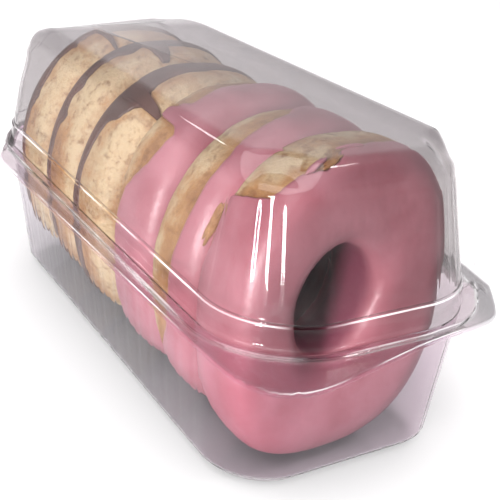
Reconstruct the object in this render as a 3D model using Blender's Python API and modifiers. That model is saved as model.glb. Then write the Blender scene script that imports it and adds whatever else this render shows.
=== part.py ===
"""Clear hinged box with six iced ring doughnuts standing on edge in a row.

The row runs along Y, the lid opens about a fold along the +X edge of the flange, and Z is up.
Three doughnuts wear pink icing facing -Y and three wear chocolate icing facing +Y.
"""
import math

import bmesh
import bpy
import numpy as np

# ---- driving dimensions, metres ----
PLASTIC = 0.0006              # wall of the clear box
GAP = 0.0003                  # between pieces that touch

BODY_HALF_X = 0.04125         # box walls at the flange
BODY_HALF_Y = 0.1020
BODY_CORNERS = (0.0266, 0.0266)       # corner radii on the -X side and on the fold's side
FOLD_Z = 0.0500               # height of the fold, between the two flanges
BOX_HEIGHT = 0.0967

FLOOR_HALF_X = 0.0335         # flat of the floor
FLOOR_SHIFT_X = 0.0016        # the floor sits a little toward the fold
FLOOR_HALF_Y = 0.0880
FLOOR_CORNERS = (0.0170, 0.0120)
HEEL_RISE = 0.0040            # rounded edge between floor and wall
HEEL_OUT = 0.0040
HEEL_TURNS = (90, 50, 20, 0)      # degrees, levels of the heel, from its top down to the floor

SKIRT_RISE = 0.0062           # upright band of the lid just above its flange
SKIRT_DRAFT = 0.0004          # how far the skirt leans in
SKIRT_LEDGE = 0.0014          # ledge from the skirt in to the lid's wall
LEDGE_RISE = 0.0006
LID_HALF_X = 0.0350           # lid wall where the shoulder starts
LID_HALF_Y = 0.0930
LID_CORNERS = (0.0215, 0.0215)
SHOULDER_Z = 0.0875
SHOULDER_OUT = 0.0055         # how far the shoulder turns in before the flat top
SHOULDER_TURNS = (35, 65, 90)     # degrees, levels of the rounded shoulder
NOTCH_DROP = 0.0050           # scalloped corners of the top, for stacking
NOTCH_CORE = 0.0110           # full drop this near the corner, none past the reach
NOTCH_REACH = 0.0185
TOP_PANEL = (0.0235, 0.0780, (0.0100, 0.0100))    # flat middle of the top, clear of the notches

FOLD_X = 0.0566               # outer edge of the hinge flange
FOLD_RADIUS = 0.0006          # rolled plastic of the fold
FOLD_HALF_Y = 0.0750
HINGE_CORNER_Y = 0.0800       # where the hinge flange's corners are cut
FLANGE_EDGE = (               # outer edge of the flange, about the body's middle
    (FOLD_X - FOLD_RADIUS - GAP, -HINGE_CORNER_Y),
    (FOLD_X - FOLD_RADIUS - GAP, HINGE_CORNER_Y),
    (0.0400, 0.1025),
    (0.0300, 0.1070),
    (-0.0100, 0.1070),
    (-0.0240, 0.1050),
    (-0.0340, 0.0985),
    (-0.0400, 0.0880),
    (-0.0445, 0.0760),
    (-0.0500, 0.0660),
    (-0.0515, 0.0560),
    (-0.0482, -0.0600),
    (-0.0472, -0.0960),
    (-0.0455, -0.1070),
    (-0.0400, -0.1140),
    (-0.0320, -0.1166),
    (-0.0220, -0.1155),
    (-0.0080, -0.1120),
    (0.0130, -0.1075),
    (0.0330, -0.1060),
    (0.0400, -0.1025),
)
BUTTON_X = 0.0423             # snap buttons in the corners of the hinge flange
BUTTON_Y = 0.0898
BUTTON_RADIUS = 0.0040
BUTTON_RISE = 0.0016
BUTTON_TAPER = 0.65           # its top over its foot


CORNER_STEPS = 5              # facets of one rounded corner
LONG_STEPS = 4                # spans of one long straight side
SHORT_STEPS = 4               # spans of one short straight side

RING_PITCH = 0.0295           # from one doughnut to the next
RING_THICKNESS = 0.0288
RING_SQUEEZE = 0.822          # width over height: the walls press the rings oval
RING_SHIFT_X = 0.0005         # the row sits a little toward the fold
RING_TURN = math.radians(3)       # and the rings stand a little askew, turned about Z
RING_FULLNESS = 2.36          # 2 is an oval seen along Y, more fills the box's corners
RING_CROWN = -0.10            # extra fullness at the top, less at the bottom
RING_LUMPS = (0.005, 0.004)   # unevenness of the outline, two and three waves around
RING_HEIGHTS = (0.0946, 0.0944, 0.0942, 0.0938, 0.0934, 0.0926)
HOLE_SHARE = 0.27             # hole over ring, at its narrowest
SECTION_POWER = 2.35          # 2 is a round section, more is boxier
ICING = 0.0016
ICING_SEAT = 0.0005           # extra room under the icing, past the gap
RING_SEGMENTS = 24
ICING_BANDS = 5
BARE_BANDS = 6
GROOVE_NEAR = math.radians(3)     # the dough's step beside the icing's edge
GROOVE_FAR = math.radians(10)

# Degrees that each icing reaches past the rim's middle, and how much more it does at one side.
WRAPS = ((20, 24), (13, 4), (34, 14), (-40, 2), (-37, 3), (-42, 2))
LOW_SIDE = math.radians(205)      # the side where the icing ran furthest
WRAP_WAVE = 6                 # degrees, waviness of the icing's outer edge
HOLE_WRAP = 12                # degrees past the middle of the hole's wall

# ---- colours (linear), roughness ----
CLEAR_PET = ((0.86, 0.88, 0.90), 0.08)
DOUGH = ((0.62, 0.40, 0.20), 0.75)
PINK_ICING = ((0.68, 0.20, 0.27), 0.25)
CHOCOLATE_ICING = ((0.10, 0.045, 0.035), 0.35)

def clear_scene():
    for old in list(bpy.data.objects):
        bpy.data.objects.remove(old, do_unlink=True)


def material(name, look, clear=False):
    colour, roughness = look
    made = bpy.data.materials.new(name)
    made.use_nodes = True
    shader = made.node_tree.nodes["Principled BSDF"]
    shader.inputs["Base Color"].default_value = (*colour, 1.0)
    shader.inputs["Roughness"].default_value = roughness
    shader.inputs["Metallic"].default_value = 0.0
    if clear:
        shader.inputs["Transmission Weight"].default_value = 1.0
        shader.inputs["IOR"].default_value = 1.57
    return made


def new_object(name, points, faces, collection, look):
    """A mesh object of the given points, moved so that the whole part is centred on the origin."""
    placed = np.asarray(points, dtype=float) - (MIDDLE_X, MIDDLE_Y, 0.0)
    mesh = bpy.data.meshes.new(name)
    mesh.from_pydata(placed.tolist(), [], faces)
    mesh.materials.append(look)
    made = bpy.data.objects.new(name, mesh)
    collection.objects.link(made)
    return made


def face_outwards(made):
    """Turns a closed mesh's faces outwards and shades its round sides smooth."""
    shape = bmesh.new()
    shape.from_mesh(made.data)
    bmesh.ops.recalc_face_normals(shape, faces=shape.faces)
    shape.to_mesh(made.data)
    shape.free()
    made.data.shade_smooth()
    made.data.set_sharp_from_angle(angle=math.radians(40))


# ---- the box ----
def rounded_outline(half_x, half_y, corners):
    """Points of a rounded rectangle, anticlockwise from the +X side's end: four arcs and four sides."""
    arcs = []
    for sign_x, sign_y, start in ((1, 1, 0), (-1, 1, 90), (-1, -1, 180), (1, -1, 270)):
        corner = corners[0] if sign_x < 0 else corners[1]
        turns = np.radians(np.linspace(start, start + 90, CORNER_STEPS + 1))
        middle = (sign_x * (half_x - corner), sign_y * (half_y - corner))
        arcs.append(np.add(middle, corner * np.column_stack((np.cos(turns), np.sin(turns)))))
    points = []
    for arc, after, spans in zip(arcs, arcs[1:] + arcs[:1], (SHORT_STEPS, LONG_STEPS) * 2):
        points.append(arc)
        points.append(np.linspace(arc[-1], after[0], spans + 1)[1:-1])
    return np.vstack(points)


def inset_outline(half_x, half_y, corners, inset):
    """The rounded rectangle drawn in by a distance all round."""
    drawn_in = tuple(corner - inset for corner in corners)
    return rounded_outline(half_x - inset, half_y - inset, drawn_in)


def flange_outline():
    """For each body point, where its outward line meets the flange's outer edge."""
    body = rounded_outline(BODY_HALF_X, BODY_HALF_Y, BODY_CORNERS)
    inner = inset_outline(BODY_HALF_X, BODY_HALF_Y, BODY_CORNERS, BODY_CORNERS[0] / 2)
    edge = np.array(FLANGE_EDGE)
    outer = []
    for point, direction in zip(body, body - inner):
        direction = direction / np.linalg.norm(direction)
        hits = []
        for start, end in zip(edge, np.roll(edge, -1, axis=0)):
            span = end - start
            cross = direction[0] * span[1] - direction[1] * span[0]
            if abs(cross) < 1e-12:
                continue
            away = start - point
            along = (away[0] * span[1] - away[1] * span[0]) / cross
            share = (away[0] * direction[1] - away[1] * direction[0]) / cross
            if along > 0 and -1e-9 <= share <= 1 + 1e-9:
                hits.append(along)
        outer.append(point + direction * min(hits))
    return np.array(outer)


def shell(name, outlines, collection, look):
    """An open loft through the outlines, closed by one flat face at its last, with Solidify."""
    count = len(outlines[0])
    faces = []
    for level in range(len(outlines) - 1):
        for step in range(count):
            after = (step + 1) % count
            low = level * count
            faces.append((low + step, low + after, low + count + after, low + count + step))
    last = (len(outlines) - 1) * count
    faces.append(tuple(range(last, last + count)))
    made = new_object(name, np.vstack(outlines), faces, collection, look)
    wall = made.modifiers.new("wall", "SOLIDIFY")
    wall.thickness = PLASTIC
    wall.offset = -1.0
    wall.use_even_offset = True
    return made


def box_middle():
    """Middle of the whole box seen from above, which becomes the part's origin."""
    edge = flange_outline()
    return ((FOLD_X + FOLD_RADIUS + edge[:, 0].min()) / 2, (edge[:, 1].max() + edge[:, 1].min()) / 2)


def at_height(outline, height):
    return np.column_stack((outline, np.full(len(outline), height)))


def box_base(collection, look):
    """Tray: flange, tapered wall and rounded heel down to the flat floor, modelled on its outer side."""
    under = FOLD_Z - GAP / 2 - PLASTIC
    outlines = [
        at_height(flange_outline(), under),
        at_height(rounded_outline(BODY_HALF_X, BODY_HALF_Y, BODY_CORNERS), under),
    ]
    for turn in map(math.radians, HEEL_TURNS):
        out = HEEL_OUT * math.sin(turn)
        floor = inset_outline(FLOOR_HALF_X, FLOOR_HALF_Y, FLOOR_CORNERS, -out)
        outlines.append(at_height(floor + (FLOOR_SHIFT_X, 0.0), HEEL_RISE * (1 - math.cos(turn))))
    return shell("box_base", [ring[::-1] for ring in outlines], collection, look)


def notched(points):
    """Lowers the corners of the lid's top, most at the corner itself."""
    corner = np.array((LID_HALF_X, LID_HALF_Y))
    away = np.linalg.norm(np.maximum(corner - np.abs(points[:, :2]), 0.0), axis=1)
    high = (points[:, 2] - SHOULDER_Z) / (BOX_HEIGHT - SHOULDER_Z)
    near = np.clip((NOTCH_REACH - away) / (NOTCH_REACH - NOTCH_CORE), 0.0, 1.0)
    points[:, 2] -= NOTCH_DROP * high * near
    return points


def box_lid(collection, look):
    """Cover: flange, upright skirt, ledge, tapered wall and rounded shoulder up to the flat top."""
    over = FOLD_Z + GAP / 2 + PLASTIC
    skirt_top = over + SKIRT_RISE
    body = (BODY_HALF_X, BODY_HALF_Y, BODY_CORNERS)
    steps = [
        at_height(flange_outline(), over),
        at_height(rounded_outline(*body), over),
        at_height(inset_outline(*body, SKIRT_DRAFT), skirt_top),
        at_height(inset_outline(*body, SKIRT_LEDGE), skirt_top + LEDGE_RISE),
        at_height(rounded_outline(LID_HALF_X, LID_HALF_Y, LID_CORNERS), SHOULDER_Z),
    ]
    rise = BOX_HEIGHT - SHOULDER_Z
    for turn in map(math.radians, SHOULDER_TURNS):
        inset = SHOULDER_OUT * (1 - math.cos(turn))
        height = SHOULDER_Z + rise * math.sin(turn)
        outline = inset_outline(LID_HALF_X, LID_HALF_Y, LID_CORNERS, inset)
        steps.append(notched(at_height(outline, height)))
    steps.append(at_height(rounded_outline(*TOP_PANEL), BOX_HEIGHT))
    return shell("box_lid", steps, collection, look)


def fold(collection, look):
    """Rolled bead of plastic on the hinge axis, between the two flanges' outer edges."""
    bpy.ops.mesh.primitive_cylinder_add(
        vertices=8, radius=FOLD_RADIUS, depth=2 * FOLD_HALF_Y,
        location=(FOLD_X - MIDDLE_X, -MIDDLE_Y, FOLD_Z), rotation=(math.radians(90), 0, 0))
    made = bpy.context.object
    made.name = "hinge_fold"
    made.data.name = "hinge_fold"
    made.data.materials.append(look)
    for owner in list(made.users_collection):
        owner.objects.unlink(made)
    collection.objects.link(made)
    return made


def button_cutters(collection):
    """Guides for the snap buttons, low cones that are joined to the lid's flange."""
    made = []
    for side in (-1, 1):
        bpy.ops.mesh.primitive_cone_add(
            vertices=10, radius1=BUTTON_RADIUS, radius2=BUTTON_TAPER * BUTTON_RADIUS,
            depth=BUTTON_RISE + PLASTIC / 2,
            location=(BUTTON_X - MIDDLE_X, side * BUTTON_Y - MIDDLE_Y,
                      FOLD_Z + GAP / 2 + PLASTIC + BUTTON_RISE / 2 - PLASTIC / 4))
        button = bpy.context.object
        button.name = "button_guide_near" if side < 0 else "button_guide_far"
        button.hide_render = True
        button.display_type = "WIRE"
        for owner in list(button.users_collection):
            owner.objects.unlink(button)
        collection.objects.link(button)
        made.append(button)
    return made


# ---- the doughnuts ----
def section(turn, inset, half_thickness, half_width):
    """Superellipse section: turn 0 is the rim, 90 degrees the iced face, 180 the hole's wall."""
    power = 2 / SECTION_POWER
    cosine = np.cos(turn)
    sine = np.sin(turn)
    out = (half_width - inset) * np.sign(cosine) * np.abs(cosine) ** power
    along = (half_thickness - inset) * np.sign(sine) * np.abs(sine) ** power
    return out, along


class Doughnut:
    """Place, size and unevenness of one ring in the row. facing is -1 for pink, 1 for chocolate."""

    def __init__(self, number, height, facing, wrap):
        self.number = number
        self.facing = facing
        self.radius = height / 2
        self.wrap, self.swing = (math.radians(angle) for angle in wrap)
        self.middle_y = (number - 3.5) * RING_PITCH
        self.phase = 1.7 * number
        self.middle_z = 0.0
        rim = self.surface(ring_angles(), 0.0, 0.0)[:, 2]
        self.radius *= height / (rim.max() - rim.min())
        rim = self.surface(ring_angles(), 0.0, 0.0)[:, 2]
        self.middle_z = PLASTIC + GAP - rim.min()

    def icing_edges(self, around):
        """Turns where the icing ends: out past the rim, and in past the hole's wall."""
        wave = math.radians(WRAP_WAVE)
        ripple = 0.6 * np.sin(3 * around + self.phase) + 0.4 * np.sin(5 * around + 2 * self.phase)
        outer = wave * ripple - self.wrap - self.swing * np.cos(around - LOW_SIDE)
        inner = math.pi + math.radians(HOLE_WRAP) + 0 * around
        return outer, inner

    def surface(self, around, turn, inset):
        """World points of the ring at angles around its hole and turns around its section."""
        hole = self.radius * HOLE_SHARE
        two, three = RING_LUMPS
        lump = two * np.sin(2 * around + self.phase) + three * np.sin(3 * around + 2.3 * self.phase)
        power = RING_FULLNESS + RING_CROWN * np.sin(around)
        fill = (np.abs(np.cos(around)) ** power + np.abs(np.sin(around)) ** power) ** (-1 / power)
        reach = self.radius * fill * (1 + lump)
        out, along = section(turn, inset, RING_THICKNESS / 2, (reach - hole) / 2)
        radial = (reach + hole) / 2 + out
        across = radial * np.cos(around) * RING_SQUEEZE
        ahead = self.facing * along
        x = RING_SHIFT_X + across * math.cos(RING_TURN) - ahead * math.sin(RING_TURN)
        y = self.middle_y + across * math.sin(RING_TURN) + ahead * math.cos(RING_TURN)
        z = self.middle_z + radial * np.sin(around)
        return np.stack(np.broadcast_arrays(x, y, z), axis=-1)


def ring_angles():
    return np.arange(RING_SEGMENTS) * 2 * math.pi / RING_SEGMENTS


def icing_turns(ring, around):
    outer, inner = ring.icing_edges(around)
    share = np.linspace(0, 1, ICING_BANDS + 1)
    return outer[:, None] + (inner - outer)[:, None] * share


def dough_ring(ring, collection, look):
    """Fried ring: a torus whose points are moved to the uneven section, sunk where the icing sits."""
    around = ring_angles()
    under = icing_turns(ring, around)
    outer = under[:, :1]
    inner = under[:, -1:]
    bare_start = inner + GROOVE_FAR
    bare_end = outer + 2 * math.pi - GROOVE_FAR
    bare = bare_start + (bare_end - bare_start) * np.linspace(0, 1, BARE_BANDS + 1)
    turns = np.hstack((outer - GROOVE_NEAR, under, inner + GROOVE_NEAR, bare))
    sunk = ICING + GAP + ICING_SEAT
    inset = np.hstack((np.full(ICING_BANDS + 3, sunk), np.zeros(BARE_BANDS + 1)))
    points = ring.surface(around[:, None], turns, inset[None, :])
    bpy.ops.mesh.primitive_torus_add(major_segments=RING_SEGMENTS, minor_segments=turns.shape[1])
    made = bpy.context.object
    made.name = f"dough_ring_{ring.number}"
    made.data.name = made.name
    made.data.vertices.foreach_set("co", (points.reshape(-1, 3) - (MIDDLE_X, MIDDLE_Y, 0)).ravel())
    made.data.materials.append(look)
    for owner in list(made.users_collection):
        owner.objects.unlink(made)
    collection.objects.link(made)
    face_outwards(made)
    return made


def icing_cap(ring, name, collection, look):
    """Icing: an open sheet over the face, past the rim and into the hole, thickened inwards."""
    around = ring_angles()
    turns = icing_turns(ring, around)
    points = ring.surface(around[:, None], turns, 0.0).reshape(-1, 3)
    across = ICING_BANDS + 1
    faces = []
    for step in range(RING_SEGMENTS):
        after = (step + 1) % RING_SEGMENTS
        for band in range(ICING_BANDS):
            corners = (step * across + band, after * across + band,
                       after * across + band + 1, step * across + band + 1)
            faces.append(corners if ring.facing < 0 else corners[::-1])
    made = new_object(name, points, faces, collection, look)
    made.data.shade_smooth()
    coat = made.modifiers.new("coat", "SOLIDIFY")
    coat.thickness = ICING
    coat.offset = -1.0
    coat.use_even_offset = True
    return made


def doughnuts():
    """The six rings in their order along the box, from -Y to +Y."""
    facings = (-1, -1, -1, 1, 1, 1)
    return [Doughnut(number, height, facing, wrap)
            for number, (height, facing, wrap) in enumerate(zip(RING_HEIGHTS, facings, WRAPS), start=1)]


def build():
    clear_scene()
    parts = bpy.data.collections.new("box_of_doughnuts")
    guides = bpy.data.collections.new("guides")
    for collection in (parts, guides):
        bpy.context.scene.collection.children.link(collection)

    plastic_base = material("clear_pet_base", CLEAR_PET, clear=True)
    plastic_lid = material("clear_pet_lid", CLEAR_PET, clear=True)
    plastic_fold = material("clear_pet_fold", CLEAR_PET, clear=True)
    box_base(parts, plastic_base)
    lid = box_lid(parts, plastic_lid)
    for button in button_cutters(guides):
        join = lid.modifiers.new(button.name, "BOOLEAN")
        join.operation = "UNION"
        join.solver = "EXACT"
        join.object = button
    fold(parts, plastic_fold)

    for ring in doughnuts():
        dough_ring(ring, parts, material(f"fried_dough_{ring.number}", DOUGH))
        if ring.facing < 0:
            icing_cap(ring, f"pink_icing_{ring.number}", parts,
                      material(f"pink_icing_{ring.number}", PINK_ICING))
        else:
            icing_cap(ring, f"chocolate_icing_{ring.number}", parts,
                      material(f"chocolate_icing_{ring.number}", CHOCOLATE_ICING))


MIDDLE_X, MIDDLE_Y = box_middle()
build()
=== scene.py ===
import math

import bpy
import numpy as np
from mathutils import Matrix, Vector

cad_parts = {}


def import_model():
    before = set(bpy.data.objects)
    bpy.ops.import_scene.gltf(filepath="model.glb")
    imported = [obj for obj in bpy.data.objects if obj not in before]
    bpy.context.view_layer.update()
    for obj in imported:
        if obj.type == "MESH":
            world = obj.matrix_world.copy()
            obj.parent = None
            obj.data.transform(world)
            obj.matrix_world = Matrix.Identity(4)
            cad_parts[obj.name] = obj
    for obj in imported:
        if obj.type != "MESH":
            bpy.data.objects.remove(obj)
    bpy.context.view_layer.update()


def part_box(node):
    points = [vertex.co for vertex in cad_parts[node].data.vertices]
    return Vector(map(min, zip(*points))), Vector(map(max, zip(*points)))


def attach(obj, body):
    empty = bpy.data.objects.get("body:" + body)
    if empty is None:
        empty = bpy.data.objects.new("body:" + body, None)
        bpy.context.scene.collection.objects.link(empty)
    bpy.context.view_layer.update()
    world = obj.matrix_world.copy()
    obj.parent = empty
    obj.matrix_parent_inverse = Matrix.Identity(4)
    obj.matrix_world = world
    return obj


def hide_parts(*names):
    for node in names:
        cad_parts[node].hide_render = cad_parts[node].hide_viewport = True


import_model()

# Clear hinged box with six iced ring doughnuts standing on edge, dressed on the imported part.
#
# Lengths are metres. Shapes are worked out about the middle of the box's body seen from above:
# the row runs along Y, the fold is on the +X side, Z is up. Angles around a ring start at +X.

# ---- the box ----
SHEET = 0.0005                # clear plastic
SHEET_GAP = 0.00015           # half the gap between the two flanges
FOLD_X = 0.0566
FOLD_Z = 0.0500
FOLD_RADIUS = 0.0006
FOLD_HALF_Y = 0.0750
# Outlines: half width, half length, corner radius on the -X side and on the fold's side, shift in X.
BODY = (0.04125, 0.1020, 0.0266, 0.0266, 0.0)
HEEL_TOP = (0.0375, 0.0920, 0.0210, 0.0160, 0.0016)
FLOOR = (0.0335, 0.0880, 0.0170, 0.0120, 0.0016)
HEEL_RISE = 0.0040
COVER = (0.0350, 0.0930, 0.0180, 0.0200, 0.0)
SHOULDER_Z = 0.0875
BOX_HEIGHT = 0.0966
SHOULDER_OUT = 0.0055
SKIRT_RISE = 0.0062
SKIRT_DRAFT = 0.0004
LEDGE = 0.0014
LEDGE_RISE = 0.0006
FLANGE_EDGE = (               # outer edge of the flange, rounded off later
    (0.0556, -0.0800), (0.0556, 0.0800), (0.0400, 0.1025), (0.0300, 0.1070), (-0.0100, 0.1070),
    (-0.0240, 0.1050), (-0.0340, 0.0985), (-0.0400, 0.0880), (-0.0445, 0.0760), (-0.0500, 0.0660),
    (-0.0515, 0.0560), (-0.0482, -0.0600), (-0.0472, -0.0960), (-0.0455, -0.1070), (-0.0400, -0.1140),
    (-0.0320, -0.1166), (-0.0220, -0.1155), (-0.0080, -0.1120), (0.0130, -0.1075), (0.0330, -0.1060),
    (0.0400, -0.1025))
BEAD_OUT = 0.0043             # stiffening bead along the flange
BEAD_HALF = 0.0007
BEAD_RISE = 0.0008
BUTTONS = ((0.0423, -0.0898), (0.0423, 0.0898))      # snap buttons
BUTTON_RADIUS = 0.0040
BUTTON_RISE = 0.0015
NOTCH_DROP = 0.0050           # stacking pockets in the top's corners
NOTCH_CORE = 0.0115
NOTCH_REACH = 0.0190
FAR_NOTCH_LESS = 0.0030       # the far end's pockets are that much smaller
SAG = 0.0044                  # droop of the cover's far end on its middle line
SAG_ACROSS = 0.075            # and how much more of it for each metre towards -X
SAG_Y = (0.060, 0.093)
RIB_PITCH = 13.0              # degrees, ribs in the cover's corners
RIB_COUNT = 7
RIB_HALF = 0.0011
RIB_RISE = 0.00024
RIB_Z = (0.0590, 0.0865)
RIB_RADIUS = 0.0210           # corner radius that turns degrees into width across a rib
FLUTE_PITCH = 0.0095          # flutes in the tray's long walls
FLUTE_HALF = 0.0031
FLUTE_RISE = 0.00012
FLUTE_EDGE = 0.0016           # width of a flute's sloping edge
FLUTE_Z = (0.0035, 0.0465)
CORNER_FLUTE_PITCH = 15.0     # degrees, flutes in the tray's corners
CORNER_FLUTE_RADIUS = 0.0245
CORNER_FLUTE_HALF = 0.0021
HIGHLIGHT_ROWS = (19, 20)       # rows of the flange's grid where its bead gets the painted highlight line
SHADED_FLANGE_ROWS = 20       # rows of the flange's grid, from its outer edge in, that carry painted shade
SHADE_FROM_X = (0.02, 0.04)    # where along X the flange's painted shade comes in, darkest on the fold's side

# ---- the doughnuts ----
THICKNESS = 0.0288
SECTION_POWER = 2.9
HOLE_POWER = 3.8
COAT = 0.0011                 # icing over the dough


def linear(code):
    """An sRGB hex colour as linear RGBA."""
    parts = [int(code[i:i + 2], 16) / 255 for i in (0, 2, 4)]
    return tuple(c / 12.92 if c <= 0.04045 else ((c + 0.055) / 1.055) ** 2.4 for c in parts) + (1.0,)


def smooth(value, low, high):
    """0 below low, 1 above high and a smooth rise between them; low may be the larger one."""
    share = np.clip((value - low) / (high - low), 0.0, 1.0)
    return share * share * (3 - 2 * share)


# ---- meshes ----
def quads(rows, columns, close_rows, close_columns):
    """Corner numbers of the quads between neighbours in a rows x columns grid of points."""
    row, column = np.meshgrid(np.arange(rows if close_rows else rows - 1),
                              np.arange(columns if close_columns else columns - 1), indexing="ij")
    next_row = (row + 1) % rows
    next_column = (column + 1) % columns
    corners = (row * columns + column, row * columns + next_column,
               next_row * columns + next_column, next_row * columns + column)
    return np.stack(corners, axis=-1).reshape(-1, 4)


def body_middle():
    """Middle of the box's body in the row's frame, found from the fold."""
    low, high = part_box("hinge_fold")
    return np.array(((low.x + high.x) / 2 - FOLD_X, (low.y + high.y) / 2, 0.0))


MIDDLE = body_middle()


def new_piece(name, points, faces, look, body, nodes):
    """A smooth mesh piece of the object, given about the body's middle."""
    mesh = bpy.data.meshes.new(name)
    mesh.from_pydata((points.reshape(-1, 3) + MIDDLE).tolist(), [], faces)
    mesh.polygons.foreach_set("use_smooth", np.ones(len(mesh.polygons), dtype=bool))
    mesh.materials.append(look)
    mesh.update()
    made = bpy.data.objects.new(name, mesh)
    bpy.context.scene.collection.objects.link(made)
    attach(made, body)
    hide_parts(*nodes)
    return made


def point_attribute(made, name, values):
    """Stores one number for each point of a piece, for its material to read."""
    layer = made.data.attributes.new(name, "FLOAT", "POINT")
    layer.data.foreach_set("value", values.astype(np.float32).ravel())


# ---- materials ----
def add(tree, kind, links=None, **settings):
    """Adds a node: settings are its own properties, links set or join its inputs by name or number."""
    made = tree.nodes.new(kind)
    for name, value in settings.items():
        setattr(made, name, value)
    for socket, value in (links or {}).items():
        if isinstance(value, bpy.types.NodeSocket):
            tree.links.new(value, made.inputs[socket])
        else:
            made.inputs[socket].default_value = value
    return made


def new_material(name):
    """An empty material and its node tree."""
    made = bpy.data.materials.new(name)
    made.use_nodes = True
    made.node_tree.nodes.clear()
    return made, made.node_tree


def clear_plastic(name, light, deep, shade):
    """Thermoformed clear PET: sharp reflections and next to no bending of what is behind."""
    made, tree = new_material(name)
    spot = add(tree, "ShaderNodeTexCoord").outputs["Object"]
    # Gentle waviness of formed sheet, about 15 mm from crest to crest, that breaks up its reflections.
    wave = add(tree, "ShaderNodeTexNoise", {"Vector": spot, "Scale": 65.0, "Detail": 1.0})
    bump = add(tree, "ShaderNodeBump", {"Height": wave.outputs[0], "Strength": 0.10, "Distance": 0.0006})
    # Two tints of the sheet, mixed by the attribute: it paints light and shade. On top of the cover the
    # darker tint is a painted grey reflection veil; on the tray's far part and on the flanges towards +X it
    # is painted shade.
    veil_and_shade = add(tree, "ShaderNodeAttribute", attribute_name="veil_and_shade").outputs["Fac"]
    tint = add(tree, "ShaderNodeMix", {0: veil_and_shade, 6: linear(light), 7: linear(deep)}, data_type="RGBA")
    # The sheet is thin, so its body bends light far less than PET's 1.5; its gloss is PET's own.
    plastic = add(tree, "ShaderNodeBsdfPrincipled", {
        "Base Color": tint.outputs[2], "Roughness": 0.03, "IOR": 1.04, "Transmission Weight": 1.0,
        "Coat Weight": 0.42, "Coat Roughness": 0.03, "Coat IOR": 1.5,
        "Normal": bump.outputs[0], "Coat Normal": bump.outputs[0]})
    faint = add(tree, "ShaderNodeBsdfTransparent", {"Color": linear(shade)})
    path = add(tree, "ShaderNodeLightPath")
    both = add(tree, "ShaderNodeMixShader", {
        0: path.outputs["Is Shadow Ray"], 1: plastic.outputs[0], 2: faint.outputs[0]})
    add(tree, "ShaderNodeOutputMaterial", {"Surface": both.outputs[0]})
    return made


def painted_highlight_plastic(name, cover):
    """Painted highlight: a milky white line along sharp edges of the sheet, standing in for light caught
    along them; it lets part of the light through.
    """
    made, tree = new_material(name)
    spot = add(tree, "ShaderNodeTexCoord").outputs["Object"]
    # The line comes and goes every 30 mm or so.
    patch = add(tree, "ShaderNodeTexNoise", {"Vector": spot, "Scale": 33.0, "Detail": 2.0})
    share = add(tree, "ShaderNodeMapRange", {0: patch.outputs[0], 1: 0.44, 2: 0.60, 3: 0.0, 4: cover})
    highlight_white = add(tree, "ShaderNodeBsdfPrincipled", {
        "Base Color": linear("FAFAFA"), "Roughness": 0.25, "Coat Weight": 0.5, "Coat IOR": 1.5})
    clear = add(tree, "ShaderNodeBsdfTransparent", {"Color": linear("F6F6F6")})
    both = add(tree, "ShaderNodeMixShader", {0: share.outputs[0], 1: clear.outputs[0], 2: highlight_white.outputs[0]})
    add(tree, "ShaderNodeOutputMaterial", {"Surface": both.outputs[0]})
    return made


def icing_material(name, light, deep, hole, hole_light_colour, roughness):
    """Set sugar icing: a cloudy satin coat with a soft gloss, with painted shade down the hole and painted
    light deeper in.
    """
    made, tree = new_material(name)
    spot = add(tree, "ShaderNodeTexCoord").outputs["Object"]
    # Clouds of paler icing, about 20 mm across.
    cloud = add(tree, "ShaderNodeTexNoise", {"Vector": spot, "Scale": 50.0, "Detail": 3.0})
    share = add(tree, "ShaderNodeMapRange", {0: cloud.outputs[0], 1: 0.35, 2: 0.65})
    cloudy = add(tree, "ShaderNodeMix", {0: share.outputs[0], 6: linear(deep), 7: linear(light)},
                 data_type="RGBA")
    # On the hole's wall the icing darkens towards the hole colour: painted shade, together with the thinner
    # coat there that lets the browned dough show.
    thin_coat_and_shade = add(tree, "ShaderNodeAttribute", attribute_name="thin_coat_and_shade").outputs["Fac"]
    wall = add(tree, "ShaderNodeMix", {0: thin_coat_and_shade, 6: cloudy.outputs[2], 7: linear(hole)}, data_type="RGBA")
    # Painted light deeper down the hole: a strong pink standing in for pink light bounced round inside it;
    # on the chocolate this colour is the same dark as its painted shade.
    hole_light = add(tree, "ShaderNodeAttribute", attribute_name="hole_light").outputs["Fac"]
    colour = add(tree, "ShaderNodeMix", {0: hole_light, 6: wall.outputs[2], 7: linear(hole_light_colour)},
                 data_type="RGBA")
    # Dimples about 3 mm across, where the coat settled over the dough.
    dimple = add(tree, "ShaderNodeTexNoise", {"Vector": spot, "Scale": 300.0, "Detail": 2.0})
    bump = add(tree, "ShaderNodeBump", {"Height": dimple.outputs[0], "Strength": 0.25, "Distance": 0.0008})
    icing = add(tree, "ShaderNodeBsdfPrincipled", {
        "Base Color": colour.outputs[2], "Roughness": roughness, "Subsurface Weight": 0.15,
        "Subsurface Radius": (0.002, 0.001, 0.001), "Subsurface Scale": 1.0, "Normal": bump.outputs[0]})
    add(tree, "ShaderNodeOutputMaterial", {"Surface": icing.outputs[0]})
    return made


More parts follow.
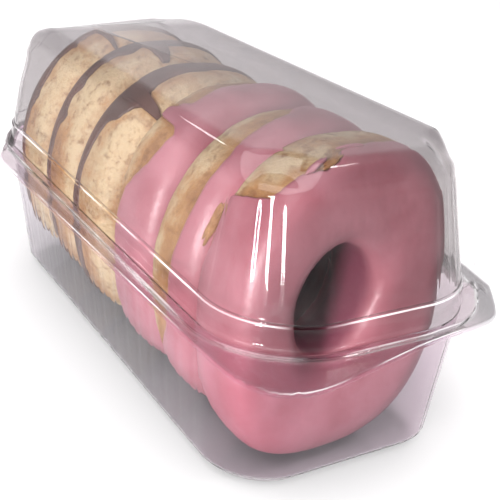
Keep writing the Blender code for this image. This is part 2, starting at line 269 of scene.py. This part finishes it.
def dough_material(name):
    """Fried yeast dough: cream where it floated, tan to brown where it fried, freckled and open-pored."""
    made, tree = new_material(name)
    spot = add(tree, "ShaderNodeTexCoord").outputs["Object"]
    crust = add(tree, "ShaderNodeAttribute", attribute_name="crust").outputs["Fac"]
    # Blotches about 13 mm across break the edge between the pale band and the crust.
    blotch = add(tree, "ShaderNodeTexNoise", {
        "Vector": spot, "Scale": 76.0, "Detail": 6.0, "Roughness": 0.68})
    patchy = add(tree, "ShaderNodeMapRange", {0: blotch.outputs[0], 1: 0.34, 2: 0.66, 3: -0.22, 4: 0.50})
    share = add(tree, "ShaderNodeMath", {0: crust, 1: patchy.outputs[0]},
                operation="ADD", use_clamp=True)
    early = add(tree, "ShaderNodeMapRange", {0: share.outputs[0], 1: 0.0, 2: 0.5})
    pale = add(tree, "ShaderNodeMix", {0: early.outputs[0], 6: linear("E2C79E"), 7: linear("C4925F")},
               data_type="RGBA")
    late = add(tree, "ShaderNodeMapRange", {0: share.outputs[0], 1: 0.5, 2: 1.0})
    baked = add(tree, "ShaderNodeMix", {0: late.outputs[0], 6: pale.outputs[2], 7: linear("935E33")},
                data_type="RGBA")
    # Blister spots about 4 mm across, fried darker than what is round them.
    spots = add(tree, "ShaderNodeTexNoise", {
        "Vector": spot, "Scale": 230.0, "Detail": 4.0, "Roughness": 0.6})
    fried = add(tree, "ShaderNodeMapRange", {0: spots.outputs[0], 1: 0.54, 2: 0.70, 3: 0.0, 4: 0.75})
    spotted = add(tree, "ShaderNodeMix", {0: fried.outputs[0], 6: baked.outputs[2], 7: linear("8C5C34")},
                  data_type="RGBA")
    # Freckles about 2 mm across, drawn no finer so that they show.
    freckle = add(tree, "ShaderNodeTexNoise", {
        "Vector": spot, "Scale": 480.0, "Detail": 3.0, "Roughness": 0.7})
    dotted = add(tree, "ShaderNodeMapRange", {0: freckle.outputs[0], 1: 0.54, 2: 0.70, 3: 0.0, 4: 0.60})
    colour = add(tree, "ShaderNodeMix", {0: dotted.outputs[0], 6: spotted.outputs[2], 7: linear("9C7148")},
                 data_type="RGBA")
    # Pores of fried crust, about 1 mm across.
    pore = add(tree, "ShaderNodeTexNoise", {
        "Vector": spot, "Scale": 900.0, "Detail": 3.0, "Roughness": 0.65})
    bump = add(tree, "ShaderNodeBump", {"Height": pore.outputs[0], "Strength": 0.6, "Distance": 0.0007})
    dough = add(tree, "ShaderNodeBsdfPrincipled", {
        "Base Color": colour.outputs[2], "Roughness": 0.6, "Subsurface Weight": 0.15,
        "Subsurface Radius": (0.003, 0.0016, 0.0008), "Subsurface Scale": 1.0, "Normal": bump.outputs[0]})
    add(tree, "ShaderNodeOutputMaterial", {"Surface": dough.outputs[0]})
    return made


# ---- clear sheets ----
def outline(station, sizes):
    """Points and outward directions of rounded rectangles.

    A station's whole part picks one of four arcs (even) and four sides (odd), anticlockwise from the
    corner at +X +Y, and its fraction the place along it. A point is an arc's middle, which moves in a
    straight line along a side, plus the corner radius in the outward direction.
    """
    half_x, half_y, left, right, shift = (np.asarray(size)[..., None] for size in np.moveaxis(sizes, -1, 0))
    leg = np.floor(station).astype(int) % 8
    share = station - np.floor(station)
    corner = leg // 2
    on_side = leg % 2
    after = (corner + 1) % 4
    sign_x = np.array((1, -1, -1, 1))
    sign_y = np.array((1, 1, -1, -1))
    along = share * on_side
    turn = np.radians(90 * corner + np.where(on_side == 1, 90, 90 * share))
    out = np.stack((np.cos(turn), np.sin(turn)), axis=-1)

    def arc_middle(which):
        """Middle and radius of the arc at each station's corner, for every outline."""
        radius = np.where(sign_x[which] > 0, right, left)
        return sign_x[which] * (half_x - radius), sign_y[which] * (half_y - radius), radius

    start_x, start_y, start_radius = arc_middle(corner)
    end_x, end_y, end_radius = arc_middle(after)
    radius = start_radius + (end_radius - start_radius) * along
    x = start_x + (end_x - start_x) * along + radius * out[:, 0] + shift
    y = start_y + (end_y - start_y) * along + radius * out[:, 1]
    return x, y, out


def stations(corner_steps, long_steps, short_steps):
    """Stations around the outline, evenly spaced in each arc and side."""
    legs = []
    for leg in range(8):
        steps = corner_steps if leg % 2 == 0 else (short_steps if leg in (1, 5) else long_steps)
        legs.append(leg + np.arange(steps) / steps)
    return np.concatenate(legs)


def rounded_edge(corners, rounds=2):
    """Chaikin's rule: each corner of a closed line is cut at a quarter of its two sides."""
    line = np.array(corners)
    for _ in range(rounds):
        after = np.roll(line, -1, axis=0)
        line = np.stack((0.75 * line + 0.25 * after, 0.25 * line + 0.75 * after), axis=1).reshape(-1, 2)
    return line


def flange_rays(station):
    """Foot, direction and length of each station's line from the body's wall to the flange's edge."""
    half_x, half_y, left, right, shift = BODY
    inset = left / 2
    x, y, _ = outline(station, np.array(BODY))
    inner_x, inner_y, _ = outline(
        station, np.array((half_x - inset, half_y - inset, left - inset, right - inset, shift)))
    foot = np.stack((x, y), axis=-1).reshape(-1, 2)
    away = foot - np.stack((inner_x, inner_y), axis=-1).reshape(-1, 2)
    away /= np.linalg.norm(away, axis=1, keepdims=True)
    edge = rounded_edge(FLANGE_EDGE)
    span = np.roll(edge, -1, axis=0) - edge
    cross = away[:, :1] * span[:, 1] - away[:, 1:] * span[:, 0]
    start = edge[None] - foot[:, None]
    length = (start[..., 0] * span[:, 1] - start[..., 1] * span[:, 0]) / cross
    share = (start[..., 0] * away[:, 1:] - start[..., 1] * away[:, :1]) / cross
    found = np.where((length > 0) & (share >= 0) & (share <= 1), length, np.inf)
    return foot, away, found.min(axis=1)


def flange_levels(station, height):
    """Flange from its outer edge in to the wall's foot, as levels x stations x 3.

    Height is the sheet's level plus a Gaussian bead at a set distance from the wall, flat-topped snap
    buttons, small waves on the lift lip, and a rolled outer edge.
    """
    foot, away, width = flange_rays(station)
    bead = np.minimum(BEAD_OUT, width - 0.0018)
    outer = bead + 1.8 * BEAD_HALF
    shares = np.linspace(1, 0, 15)[:-1]
    offsets = [width, width - 0.0002]
    offsets += [outer + (width - 0.0006 - outer) * share for share in shares]
    offsets += [bead + step * BEAD_HALF for step in (1.8, 1.3, 0.9, 0.5, 0.0, -0.5, -0.9, -1.3, -1.8)]
    offsets += [np.full_like(width, 0.0018), np.full_like(width, 0.0012)]
    offset = np.array(offsets)
    x = foot[:, 0] + away[:, 0] * offset
    y = foot[:, 1] + away[:, 1] * offset
    rise = BEAD_RISE * np.exp(-((offset - bead) / BEAD_HALF) ** 2 * 0.9)
    for middle in BUTTONS:
        from_button = np.hypot(x - middle[0], y - middle[1])
        rise += BUTTON_RISE * smooth(from_button, BUTTON_RADIUS, 0.6 * BUTTON_RADIUS)
    lip = smooth(np.hypot(x + 0.040, y + 0.109), 0.012, 0.007) * smooth(offset, 0.006, 0.008)
    rise += 0.0003 * lip * np.sin(2100 * x + 700 * y) * np.sin(1900 * y)
    rise -= 0.0003 * smooth(offset, width - 0.0006, width)
    return np.stack((x, y, height + rise), axis=-1)


def profile(knots, bends, spans, bend_steps=4):
    """Levels of a wall: straight runs between knots, each inner knot rounded by a Bezier arc.

    A knot is an outline's five sizes and its height. The arc starts and ends one bend away.
    """
    knots = np.array(knots)
    levels = []
    here = knots[0]
    for before, knot, after, bend, span in zip(knots, knots[1:], knots[2:], bends, spans):
        back = np.hypot(*(knot - before)[[1, 5]])
        ahead = np.hypot(*(after - knot)[[1, 5]])
        start = knot + (before - knot) * bend / back
        end = knot + (after - knot) * bend / ahead
        share = np.linspace(0, 1, span + 1)[:-1, None]
        levels.append(here + (start - here) * share)
        share = np.linspace(0, 1, bend_steps + 1)[:-1, None]
        levels.append((1 - share) ** 2 * start + 2 * share * (1 - share) * knot + share ** 2 * end)
        here = end
    share = np.linspace(0, 1, spans[-1] + 1)[:, None]
    levels.append(here + (knots[-1] - here) * share)
    return np.concatenate(levels)


def grown(sizes, amount):
    """An outline's sizes drawn outwards by an amount all round; corners stay at least 3 mm round."""
    half_x, half_y, left, right, shift = sizes
    return (half_x + amount, half_y + amount, max(left + amount, 0.003), max(right + amount, 0.003), shift)


def swell(points, out, amount):
    """Moves levels x stations points outwards, seen from above, by an amount for each."""
    points[..., 0] += out[:, 0] * amount
    points[..., 1] += out[:, 1] * amount
    return points


def capsule(across, height, half, edge, low, high):
    """1 inside an upright capsule seen on a wall, 0 outside, with a smooth edge of the given width."""
    past = np.maximum(np.maximum(low + half - height, height - (high - half)), 0.0)
    return smooth(np.hypot(across, past), half + edge / 2, half - edge / 2)


def close_sheet(levels, flip):
    """Faces of a sheet whose last level is closed by a fan about one more point at its middle."""
    rows, columns = levels.shape[:2]
    middle = levels[-1].mean(axis=0)
    points = np.vstack((levels.reshape(-1, 3), middle))
    faces = quads(rows, columns, False, True)
    last = (rows - 1) * columns + np.arange(columns)
    fan = np.stack((last, np.roll(last, -1), np.full(columns, rows * columns)), axis=-1)
    if flip:
        faces = faces[:, ::-1]
        fan = fan[:, ::-1]
    return points, faces.tolist() + fan.tolist()


def paint_highlight_rows(made, columns, rows, look):
    """Gives the faces that start in the named rows of a grid with so many columns a second look."""
    made.data.materials.append(look)
    row = np.arange(len(made.data.polygons)) // columns
    made.data.polygons.foreach_set("material_index", np.isin(row, rows).astype(np.int32))


def thicken(made):
    """Gives a surface the sheet's thickness, inwards from its outer face."""
    sheet = made.modifiers.new("sheet", "SOLIDIFY")
    sheet.thickness = SHEET
    sheet.offset = -1.0
    return made


def far_sag(x, y):
    """How far the cover's top droops at its far end: most at the -X side."""
    return (SAG - SAG_ACROSS * x) * smooth(y, *SAG_Y)


def box_cover(look, highlight_line):
    """Cover: flange, upright skirt, ledge, ribbed corners, rounded shoulder and a top with pockets."""
    station = stations(84, 36, 16)
    level = FOLD_Z + SHEET_GAP + SHEET
    skirt_top = level + SKIRT_RISE
    shoulder = [(*grown(COVER, -SHOULDER_OUT * (1 - math.cos(turn))),
                 SHOULDER_Z + (BOX_HEIGHT - SHOULDER_Z) * math.sin(turn))
                for turn in np.radians(np.linspace(0, 90, 10)[1:])]
    top = [(*grown(COVER, -inset), BOX_HEIGHT) for inset in np.linspace(0.0066, 0.0210, 15)]
    knots = [(*grown(BODY, 0.0012), level), (*BODY, level), (*grown(BODY, -SKIRT_DRAFT), skirt_top),
             (*grown(BODY, -LEDGE), skirt_top + LEDGE_RISE), (*COVER, SHOULDER_Z)]
    wall = profile(knots, (0.0010, 0.0006, 0.0006), (1, 3, 1, 18))
    wall = np.vstack((wall[1:], shoulder, top))
    x, y, out = outline(station, wall[:, :5])
    z = np.repeat(wall[:, 5:], x.shape[1], axis=1)
    from_corner = np.hypot(np.maximum(COVER[0] - np.abs(x), 0), np.maximum(COVER[1] - np.abs(y), 0))
    from_corner = from_corner + np.where(y > 0, FAR_NOTCH_LESS, 0.0)
    high = np.clip((z - SHOULDER_Z) / (BOX_HEIGHT - SHOULDER_Z), 0, 1)
    z = z - NOTCH_DROP * high * smooth(from_corner, NOTCH_REACH, NOTCH_CORE)
    z = z - far_sag(x, y) * smooth(z, 0.070, SHOULDER_Z)
    points = np.stack((x, y, z), axis=-1)
    leg = np.floor(station).astype(int)
    angle = np.where(leg % 2 == 0, 90 * (station - leg), -90.0)
    last = RIB_COUNT // 2
    nearest = np.clip(np.round((angle - 45) / RIB_PITCH), -last, last) * RIB_PITCH + 45
    across = np.radians(angle - nearest) * RIB_RADIUS
    rib = capsule(across, z, RIB_HALF, RIB_HALF, *RIB_Z)
    points = swell(points, out, RIB_RISE * rib)
    levels = np.concatenate((flange_levels(station, level), points))
    points, faces = close_sheet(levels, False)
    made = new_piece("clear_cover", points, faces, look, "lid", ["box_lid"])
    # Painted reflection: the darker tint makes a grey veil on the cover's top and a little of it on its
    # walls; on the flange's outer rows it is painted shade growing towards +X.
    above = points[:, 2]
    on_top = smooth(above, SHOULDER_Z, BOX_HEIGHT - 0.003)
    veil_and_shade = 0.20 * smooth(above, level + 0.001, skirt_top) + 0.80 * on_top
    flange = SHADED_FLANGE_ROWS * levels.shape[1]
    veil_and_shade[:flange] = smooth(points[:flange, 0], *SHADE_FROM_X)
    point_attribute(made, "veil_and_shade", veil_and_shade)
    # Painted highlight lines go on the flange's outer edge, its bead and the ledge.
    heights = levels[:, 0, 2]
    ledge = np.flatnonzero(np.abs(heights - skirt_top) < 0.0005)
    paint_highlight_rows(made, levels.shape[1], np.concatenate(((0, *HIGHLIGHT_ROWS), ledge[:2])), highlight_line)
    return thicken(made)


def box_tray(look, highlight_line):
    """Tray: flange, wall with long shallow flutes, rounded heel and flat floor, seen from outside."""
    station = stations(48, 204, 24)
    level = FOLD_Z - SHEET_GAP - SHEET
    floor = [(*grown(FLOOR, -inset), 0.0) for inset in (0.004, 0.009)]
    knots = [(*grown(BODY, 0.0012), level), (*BODY, level), (*HEEL_TOP, HEEL_RISE),
             (*FLOOR, 0.0), (*grown(FLOOR, -0.0015), 0.0)]
    wall = profile(knots, (0.0010, 0.0015, 0.0012), (1, 26, 2, 1), 5)
    wall = np.vstack((wall[1:], floor))
    x, y, out = outline(station, wall[:, :5])
    z = np.repeat(wall[:, 5:], x.shape[1], axis=1)
    points = np.stack((x, y, z), axis=-1)
    leg = np.floor(station).astype(int)
    share = station - leg
    side_y = np.abs(y[12])
    on_side = (leg == 3) | (leg == 7)
    across = np.where(on_side, (side_y + FLUTE_PITCH / 2) % FLUTE_PITCH - FLUTE_PITCH / 2, 1.0)
    from_flute = (90 * share) % CORNER_FLUTE_PITCH - CORNER_FLUTE_PITCH / 2
    across = np.where(leg % 2 == 0, np.radians(from_flute) * CORNER_FLUTE_RADIUS, across)
    half = np.where(leg % 2 == 0, CORNER_FLUTE_HALF, FLUTE_HALF)
    flute = capsule(across, z, half, FLUTE_EDGE, *FLUTE_Z)
    points = swell(points, out, FLUTE_RISE * flute)
    levels = np.concatenate((flange_levels(station, level), points))
    points, faces = close_sheet(levels, True)
    made = new_piece("clear_tray", points, faces, look, "base", ["box_base"])
    # Painted shade: below the flange the tray's sheet darkens towards its far end and at its near end's
    # outer edge; on the flange's outer rows it darkens towards +X.
    far = 0.6 * smooth(points[:, 1], -0.105, -0.02)
    near_end_shade = 0.9 * smooth(points[:, 1], -0.102, -0.108)
    veil_and_shade = (0.05 + far + near_end_shade) * smooth(points[:, 2], level - 0.001, level - 0.012)
    flange = SHADED_FLANGE_ROWS * levels.shape[1]
    veil_and_shade[:flange] = smooth(points[:flange, 0], *SHADE_FROM_X)
    point_attribute(made, "veil_and_shade", veil_and_shade)
    # Painted highlight line along the flange's bead.
    paint_highlight_rows(made, levels.shape[1], HIGHLIGHT_ROWS, highlight_line)
    return thicken(made)


def fold(look):
    """Rolled fold of the sheet: a round bar along the hinge with its ends rounded off."""
    around = np.linspace(0, 2 * math.pi, 24, endpoint=False)
    along = np.concatenate(([0.0, 0.3, 0.7], np.linspace(1, 59, 40), [59.3, 59.7, 60.0]))
    past = np.clip(np.maximum(1 - along, along - 59), 0, 1)
    radius = FOLD_RADIUS * np.sqrt(np.maximum(1 - past ** 2, 0.02))
    y = -FOLD_HALF_Y + 2 * FOLD_HALF_Y * along / 60
    x = FOLD_X + radius[:, None] * np.cos(around)
    z = FOLD_Z + radius[:, None] * np.sin(around)
    points = np.stack((x, np.repeat(y[:, None], len(around), axis=1), z), axis=-1)
    faces = quads(*points.shape[:2], False, True)[:, ::-1].tolist()
    last = (len(along) - 1) * len(around)
    faces.append(list(range(len(around))))
    faces.append(list(range(last, last + len(around)))[::-1])
    return new_piece("rolled_fold", points, faces, look, "base", ["hinge_fold"])


# ---- rings ----
def waves(first, second, seed, count=7):
    """Smooth unevenness of two angles, about -1 to 1: a sum of sines with seeded turns and phases."""
    chance = np.random.default_rng(seed)
    total = 0.0
    for step in range(count):
        one = chance.integers(1, 3 + step)
        two = chance.integers(0, 2 + step)
        total = total + np.sin(one * first + two * second + chance.uniform(0, 6.28)) / (1 + 0.4 * step)
    return total / 2.2


class Ring:
    """Place, size and unevenness of one doughnut. facing is -1 where the iced face looks to -Y.

    powers are the outline's fullness at its upper +X, upper -X, lower -X and lower +X quarters: 2 is an
    oval. hole is its size over the ring's, how far it sits off the middle and towards which angle. edge
    holds pairs of degrees: an angle around the ring, and the turn at which the icing ends there.
    """

    def __init__(self, number, facing, middle, half, powers, turn, lean, hole, edge):
        self.number = number
        self.facing = facing
        self.middle = middle
        self.half = half
        self.powers = powers
        self.turn = turn
        self.lean = lean
        self.hole = hole
        self.edge = np.array(edge, dtype=float)

    def outer_edge(self, around):
        """Turn at which the icing ends past the rim: eased between the set angles, plus a fine ripple."""
        degrees = np.degrees(around) % 360
        angles, turns = self.edge.T
        angles = np.concatenate((angles[-1:] - 360, angles, angles[:1] + 360))
        turns = np.concatenate((turns[-1:], turns, turns[:1]))
        after = np.clip(np.searchsorted(angles, degrees, side="right"), 1, len(angles) - 1)
        share = smooth(degrees, angles[after - 1], angles[after])
        edge = turns[after - 1] + (turns[after] - turns[after - 1]) * share
        slow = 0.6 * waves(4 * around, 0.0, 10 + self.number, 9)
        fast = 0.5 * waves(15 * around, 0.0, 20 + self.number, 9)
        return np.radians(edge + slow + fast)

    def outline(self, around):
        """Reach of the ring from its middle in units of its half height: an uneven superellipse."""
        upper_right, upper_left, lower_left, lower_right = self.powers
        right = smooth(np.cos(around), -0.25, 0.25)
        upper = upper_left + (upper_right - upper_left) * right
        lower = lower_left + (lower_right - lower_left) * right
        power = lower + (upper - lower) * smooth(np.sin(around), -0.25, 0.25)
        fill = (np.abs(np.cos(around)) ** power + np.abs(np.sin(around)) ** power) ** (-1 / power)
        return fill * (1 + 0.004 * waves(around, 0.0, self.number, 5))

    def surface(self, around, turn, inset):
        """World points at angles around the ring and turns around its section, drawn in by inset.

        The section is a superellipse, fuller on the hole's side: turn 0 is the rim, 90 degrees the iced
        face, 180 the hole's wall.
        """
        half_x, half_z = self.half
        share, shift, where = self.hole
        hole = half_z * share + shift * np.cos(around - math.radians(where))
        reach = half_z * self.outline(around)
        lump = 0.0004 * waves(around, turn, 30 + self.number, 9)
        cosine = np.cos(turn)
        sine = np.sin(turn)
        power = 2 / np.where(cosine < 0, HOLE_POWER, SECTION_POWER)
        width = (reach - hole) / 2 - inset + lump
        depth = THICKNESS / 2 - inset + lump
        radial = (reach + hole) / 2 + width * np.sign(cosine) * np.abs(cosine) ** power
        ahead = self.facing * depth * np.sign(sine) * np.abs(sine) ** power
        across = radial * np.cos(around) * half_x / half_z
        up = radial * np.sin(around)
        x = self.middle[0] + across * math.cos(self.turn) - ahead * math.sin(self.turn)
        y = self.middle[1] + across * math.sin(self.turn) + ahead * math.cos(self.turn) + self.lean * up
        z = self.middle[2] + up
        return np.stack(np.broadcast_arrays(x, y, z), axis=-1)


def dough(ring, look):
    """Dough ring: the ring's surface drawn in by the coat, finely uneven, browned by its turn."""
    rows, columns = 280, 100
    around = np.linspace(0, 2 * math.pi, rows, endpoint=False)[:, None]
    turn = np.linspace(0, 2 * math.pi, columns, endpoint=False)[None]
    grain = 0.00012 * waves(9 * around, 5 * turn, 50 + ring.number, 8)
    points = ring.surface(around, turn, COAT + grain)
    faces = quads(rows, columns, True, True)
    if ring.facing > 0:
        faces = faces[:, ::-1]
    made = new_piece(f"fried_ring_{ring.number}", points, faces.tolist(), look, "base",
                     [f"dough_ring_{ring.number}"])
    bare = (np.degrees(ring.outer_edge(around) - turn) + 180) % 360 - 180
    edge, uneven = (0.50, 0.12) if ring.facing < 0 else (0.32, 0.26)
    crust = edge * smooth(bare, 26, 4) + 0.75 * smooth(bare, 50, 95)
    crust = crust + uneven * waves(around, turn, 70 + ring.number, 9)
    point_attribute(made, "crust", np.broadcast_to(crust, (rows, columns)))
    return made


def icing(ring, look, slot):
    """Icing: a closed coat from past the rim to inside the hole, thickest inside its rounded edges."""
    rows, top_steps, under_steps = 480, 48, 14
    around = np.linspace(0, 2 * math.pi, rows, endpoint=False)[:, None]
    outer = ring.outer_edge(around)
    inner = math.radians(276) + 0.10 * waves(around, 0.0, 90 + ring.number, 6)
    spread = (1 - np.cos(np.linspace(0, math.pi, top_steps))) / 2
    turn = outer + (inner - outer) * spread
    from_edge = np.minimum(turn - outer, inner - turn) * 0.015
    thick = COAT * np.sqrt(np.clip(1 - (1 - np.clip(from_edge / 0.0014, 0, 1)) ** 2, 0, 1))
    back = np.linspace(1, 0, under_steps + 2)[1:-1]
    under_turn = outer + (inner - outer) * back
    turns = np.hstack((turn, under_turn))
    inset = np.hstack((COAT + 0.00015 - thick, np.full((rows, under_steps), COAT + 0.0006)))
    points = ring.surface(around, turns, inset)
    faces = quads(*points.shape[:2], True, True)
    if ring.facing > 0:
        faces = faces[:, ::-1]
    made = new_piece(f"{slot}_coat_{ring.number}", points, faces.tolist(), look, "base",
                     [f"{slot}_{ring.number}"])
    # Painted shade down the hole's wall, then painted light deeper in.
    point_attribute(made, "thin_coat_and_shade", smooth(np.degrees(turns), 144, 170))
    point_attribute(made, "hole_light", smooth(np.degrees(turns), 185, 215))
    return made


def flake(ring, look, name, middle, half, slant, rise, nodes):
    """Flake lying on a ring: a flattened ball whose latitudes are wavy ovals in the ring's two angles.

    middle and half are degrees around the ring and degrees of turn; slant shears the oval's turn along it.
    """
    latitude = np.radians(np.linspace(-86, 86, 17))[:, None]
    spoke = np.linspace(0, 2 * math.pi, 64, endpoint=False)[None]
    reach = np.cos(latitude) * (1 + 0.34 * waves(spoke, 0.0, 120 + len(name), 8))
    along = reach * np.cos(spoke)
    around = np.radians(middle[0] + half[0] * along)
    turn = np.radians(middle[1] + half[1] * reach * np.sin(spoke) + slant * along)
    uneven = 1 + 0.3 * waves(3 * around, 5 * turn, 7)
    points = ring.surface(around, turn, -rise * np.sin(latitude) * uneven)
    columns = points.shape[1]
    poles = points[[0, -1]].mean(axis=1)
    count = points.shape[0] * columns
    faces = quads(*points.shape[:2], False, True)
    first = np.arange(columns)
    last = count - columns + first
    lower = np.stack((np.roll(first, -1), first, np.full(columns, count)), axis=-1)
    upper = np.stack((last, np.roll(last, -1), np.full(columns, count + 1)), axis=-1)
    if ring.facing > 0:
        faces, lower, upper = faces[:, ::-1], lower[:, ::-1], upper[:, ::-1]
    points = np.vstack((points.reshape(-1, 3), poles))
    faces = faces.tolist() + lower.tolist() + upper.tolist()
    made = new_piece(name, points, faces, look, "base", nodes)
    point_attribute(made, "crust", np.full(len(points), 0.60))
    return made


RINGS = (
    Ring(1, -1, (0.0012, -0.0720, 0.0483), (0.0374, 0.0473), (2.85, 2.12, 2.80, 2.40), 0.04, 0.023,
         (0.326, 0.0070, 149),
         ((0, -25), (30, -15), (45, 5), (52, 11), (60, 10), (66, 8), (75, 12), (90, 15), (97, 20),
          (103, 37), (109, 40), (113, 33), (120, 23), (127, 20), (132, 15), (135, 0), (137, -10),
          (139, -40), (145, -30), (155, -26), (170, -45), (215, -45), (270, -20), (330, -25))),
    Ring(2, -1, (0.0006, -0.0449, 0.0480), (0.0383, 0.0472), (2.60, 1.95, 2.53, 2.50), 0.02, -0.015,
         (0.27, 0.0, 0),
         ((0, -20), (75, -20), (82, -10), (90, 0), (97, 3), (105, 6), (120, 9), (126, 13), (150, 14),
          (160, 12), (170, 9), (180, 7), (195, 3), (215, -8), (240, -15), (300, -20))),
    Ring(3, -1, (0.0006, -0.0155, 0.0480), (0.0384, 0.0472), (3.00, 1.98, 2.60, 2.50), 0.05, 0.0,
         (0.27, 0.0, 0),
         ((0, -25), (60, -4), (90, -1), (115, 0), (119, -8), (122, -22), (126, -20), (128, 8),
          (131, 14), (136, 10), (145, 5), (150, 0), (155, -5), (160, -12), (170, -16), (180, -20),
          (240, -30), (300, -20))),
    Ring(4, 1, (-0.0004, 0.0138, 0.0476), (0.0389, 0.0468), (2.64, 1.97, 2.50, 2.50), 0.048, -0.080,
         (0.27, 0.0, 0),
         ((0, 5), (60, 0), (75, -2), (90, -8), (100, -6), (107, -5), (112, -6), (117, -9),
          (119.5, -14), (121.5, -50), (123.5, -64), (125.5, -56), (127, -18), (130, -11), (135, -5),
          (142, 5), (150, 9), (165, 12), (180, 9), (195, 3), (205, 2), (212, 5), (222, 12), (300, 12))),
    Ring(5, 1, (0.0003, 0.0438, 0.0477), (0.0385, 0.0467), (2.85, 1.95, 2.50, 2.50), 0.055, 0.005,
         (0.27, 0.0, 0),
         ((0, 10), (45, -4), (60, -6), (84, -5), (87, -34), (89, -48), (93, -48), (95, -30), (97, -2),
          (105, -5), (112, 3), (120, 9), (128, 9), (135, 3), (142, 10), (147, 6), (150, 2), (153, 4),
          (156, 10), (165, 14), (180, 13), (300, 14))),
    Ring(6, 1, (0.0005, 0.0733, 0.0476), (0.0384, 0.0466), (2.90, 1.88, 2.50, 2.50), 0.05, 0.0,
         (0.27, 0.0, 0),
         ((0, 8), (45, -6), (60, -10), (75, -7), (100, -5), (101, -50), (103, -50), (104, 4), (110, 8),
          (112, 4), (115, 10), (118, 2), (122, 8), (128, 12), (135, 9), (140, 6), (148, 6), (152, 4),
          (155, 7), (160, 12), (170, 13), (300, 13))),
)

# The cover's darker tint is its painted grey reflection veil.
cover_look = clear_plastic("clear_pet_thermoformed_cover", "D6D3D3", "BCB9BA", "FCFCFC")
# The tray's paler tint is lilac: painted pink light thrown back from the icing. Its darker tint is painted
# shade.
tray_look = clear_plastic("clear_pet_thermoformed_tray", "F3E8EF", "D8D9DA", "FFFFFF")
fold_look = clear_plastic("clear_pet_rolled_fold", "F6F4F5", "ECECEC", "FCFCFC")
highlight_line_look = painted_highlight_plastic("clear_pet_painted_highlight_line", 0.38)
box_cover(cover_look, highlight_line_look)
box_tray(tray_look, highlight_line_look)
fold(fold_look)
fried = dough_material("yeast_dough_fried")
# The third colour is painted shade down the hole, the fourth painted light deeper in.
pink = icing_material("sugar_icing_pink_dipped", "CC8693", "B46875", "8A465A", "F05070", 0.38)
chocolate = icing_material("cocoa_icing_dipped", "643C30", "48281E", "38201A", "38201A", 0.50)
for ring in RINGS:
    dough(ring, fried)
    if ring.facing < 0:
        icing(ring, pink, "pink_icing")
    else:
        icing(ring, chocolate, "chocolate_icing")

flake(RINGS[1], fried, "torn_crumb_2", (150.5, 52), (11, 6), -2, 0.00035, ["dough_ring_2"])
flake(RINGS[0], fried, "torn_crumb_1", (106, 34), (6, 5), 3, 0.0004, ["dough_ring_1"])
flake(RINGS[0], pink, "torn_icing_flap", (111, 27), (5.5, 5), 2, 0.0010, ["pink_icing_1"])
flake(RINGS[0], pink, "torn_icing_lip", (93, 20), (7, 2), 0, 0.0008, ["pink_icing_1"])


# ---- floor, light, camera ----
def floor():
    """Plain pale floor, far wider than the view."""
    mesh = bpy.data.meshes.new("floor")
    wide = 6.0
    mesh.from_pydata([(-wide, -wide, -0.0002), (wide, -wide, -0.0002), (wide, wide, -0.0002),
                      (-wide, wide, -0.0002)], [], [(0, 1, 2, 3)])
    made = bpy.data.objects.new("floor", mesh)
    bpy.context.scene.collection.objects.link(made)
    look, tree = new_material("painted_floor_matte")
    paint = add(tree, "ShaderNodeBsdfPrincipled", {"Base Color": linear("D6D6D6"), "Roughness": 0.9})
    add(tree, "ShaderNodeOutputMaterial", {"Surface": paint.outputs[0]})
    mesh.materials.append(look)


def panel(name, direction, distance, wide, tall, power, colour="FFFFFF"):
    """Soft rectangular lamp that looks at the box from a direction."""
    lamp = bpy.data.lights.new(name, "AREA")
    lamp.shape = "RECTANGLE"
    lamp.size = wide
    lamp.size_y = tall
    lamp.energy = power
    lamp.color = linear(colour)[:3]
    made = bpy.data.objects.new(name, lamp)
    towards = Vector(direction).normalized()
    made.location = Vector(MIDDLE) + Vector((0, 0, 0.05)) + towards * distance
    made.rotation_euler = towards.to_track_quat("Z", "Y").to_euler()
    bpy.context.scene.collection.objects.link(made)


def world(colour, strength):
    """Even light from all round, as from pale studio walls."""
    made = bpy.data.worlds.new("studio")
    made.use_nodes = True
    back = made.node_tree.nodes["Background"]
    back.inputs[0].default_value = linear(colour)
    back.inputs[1].default_value = strength
    bpy.context.scene.world = made


def camera():
    """View over the near end, turned, pitched and rolled, with a moderately long lens."""
    lens = bpy.data.cameras.new("camera")
    lens.sensor_width = 36.0
    lens.lens = 69.233
    lens.clip_start = 0.01
    made = bpy.data.objects.new("camera", lens)
    right = Vector((0.85902065, -0.50553408, 0.08073913))
    up = Vector((0.14487014, 0.39131068, 0.90878413))
    ahead = Vector((0.49101543, 0.76896765, -0.40938075))
    facing = Matrix((right, up, -ahead)).transposed()
    place = Vector(MIDDLE) + Vector((-0.1502094, -0.2682220, 0.1710424))
    made.matrix_world = Matrix.Translation(place) @ facing.to_4x4()
    bpy.context.scene.collection.objects.link(made)
    bpy.context.scene.camera = made


floor()
world("CECACC", 1.95)
panel("window_left", (-0.80, -0.58, 0.01), 0.9, 0.18, 0.30, 15.5)
panel("ceiling_right", (0.50, -0.41, 0.77), 1.2, 0.16, 0.10, 1.6)
panel("ceiling_back", (-0.33, 0.78, 0.50), 1.2, 0.08, 0.08, 0.3)
panel("overhead", (-0.40, -0.25, 0.88), 1.6, 1.4, 1.4, 25.0)
camera()
scene = bpy.context.scene
scene.view_settings.view_transform = "Standard"
scene.cycles.max_bounces = 20
scene.cycles.transmission_bounces = 20
scene.cycles.transparent_max_bounces = 32
scene.cycles.diffuse_bounces = 8
scene.cycles.caustics_reflective = False
scene.cycles.caustics_refractive = False
